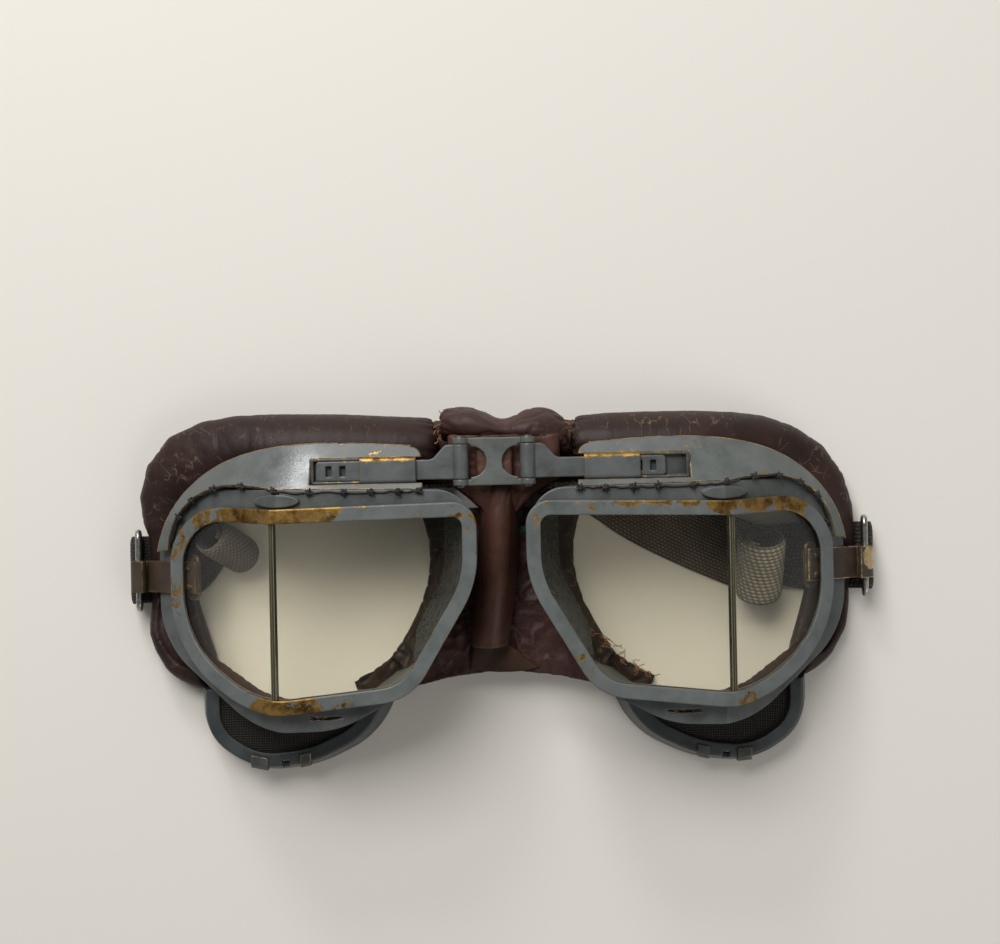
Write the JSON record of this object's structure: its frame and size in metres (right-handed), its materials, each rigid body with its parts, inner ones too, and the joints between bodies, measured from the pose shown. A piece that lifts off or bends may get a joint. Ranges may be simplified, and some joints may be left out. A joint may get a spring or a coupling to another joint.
{
  "type": "aviator flying goggles",
  "caption": "Flying goggles with folded-lens metal eyecups on a hinged, adjustable bridge link, padded leather rolls, vent rims, wire loops and a webbing strap.",
  "frame": {"origin": "middle of the goggles' footprint, on the floor they lie on, face side down", "axes": "+X to the wearer's left across the two eyecups, +Y to the brow, +Z out of the front glass"},
  "size_m": [0.1824, 0.0884, 0.034],
  "materials": {
    "painted_brass": "worn grey-blue paint over brass",
    "dark_paint": "dark blue-grey paint",
    "worn_brass": "dull tarnished brass",
    "lens_glass": "clear, slightly warm",
    "glass_cement": "dark cement",
    "gasket_rubber": "aged rubber",
    "felt": "dark green felt",
    "roll_leather": "worn dark brown leather",
    "nose_leather": "worn red-brown leather",
    "gauze": "dark gauze",
    "steel_wire": "bright steel wire",
    "pin_steel": "dull steel",
    "webbing": "fine grey-brown webbing",
    "ribbed_webbing": "ribbed elastic webbing"
  },
  "bodies": {
    "bridge": {"link_plate": "painted_brass", "hinge_pins": "pin_steel", "nose_roll": "nose_leather", "brow_roll": "nose_leather", "bridge_pad": "nose_leather", "strap_back": "webbing", "left_nose_web": "nose_leather", "right_nose_web": "nose_leather"},
    "left_arm": {"left_bridge_arm": "painted_brass"},
    "left_cup": {"left_eyecup_body": "painted_brass", "left_lens_bezel": "painted_brass", "left_front_glass": "lens_glass", "left_side_glass": "lens_glass", "left_glass_joint": "glass_cement", "left_lens_gasket": "gasket_rubber", "left_felt_lining": "felt", "left_brow_plate": "painted_brass", "left_adjuster_track": "painted_brass", "left_adjuster_sleeve": "painted_brass", "left_side_roll": "roll_leather", "left_face_pad": "roll_leather", "left_cheek_rim": "dark_paint", "left_cheek_gauze": "gauze", "left_strap_lug": "worn_brass", "left_lug_keeper": "worn_brass", "left_lug_rivets": "worn_brass", "left_strap_roll": "webbing"},
    "left_loop": {"left_strap_loop": "steel_wire", "left_strap_end": "webbing"},
    "right_arm": {"right_bridge_arm": "painted_brass"},
    "right_cup": {"right_eyecup_body": "painted_brass", "right_lens_bezel": "painted_brass", "right_front_glass": "lens_glass", "right_side_glass": "lens_glass", "right_glass_joint": "glass_cement", "right_lens_gasket": "gasket_rubber", "right_felt_lining": "felt", "right_brow_plate": "painted_brass", "right_adjuster_track": "painted_brass", "right_adjuster_sleeve": "painted_brass", "right_side_roll": "roll_leather", "right_face_pad": "roll_leather", "right_cheek_rim": "dark_paint", "right_cheek_gauze": "gauze", "right_strap_lug": "worn_brass", "right_lug_keeper": "worn_brass", "right_lug_rivets": "worn_brass", "right_strap_roll": "ribbed_webbing"},
    "right_loop": {"right_strap_loop": "steel_wire", "right_strap_end": "ribbed_webbing"}
  },
  "joints": [
    {"name": "left_bridge_hinge", "type": "hinge", "parent": "bridge", "child": "left_arm", "pos_m": [-0.0091, 0.03029, 0.02435], "axis": [0, 1, 0], "range_deg": [-10, 12], "deforming": ["left_nose_web", "strap_back"]},
    {"name": "left_adjuster_slide", "type": "slide", "parent": "left_arm", "child": "left_cup", "axis": [-1, 0, 0], "range_m": [0, 0.006]},
    {"name": "left_loop_hinge", "type": "hinge", "parent": "left_cup", "child": "left_loop", "pos_m": [-0.0881, 0.00424, 0.0081], "axis": [0, 1, 0], "range_deg": [-5, 95], "deforming": ["left_strap_end"]},
    {"name": "right_bridge_hinge", "type": "hinge", "parent": "bridge", "child": "right_arm", "pos_m": [0.0065, 0.03029, 0.02435], "axis": [0, -1, 0], "range_deg": [-10, 12], "deforming": ["right_nose_web"]},
    {"name": "right_adjuster_slide", "type": "slide", "parent": "right_arm", "child": "right_cup", "axis": [1, 0, 0], "range_m": [0, 0.006]},
    {"name": "right_loop_hinge", "type": "hinge", "parent": "right_cup", "child": "right_loop", "pos_m": [0.0881, 0.00424, 0.0081], "axis": [0, -1, 0], "range_deg": [-5, 95], "deforming": ["right_strap_end"]}
  ]
}
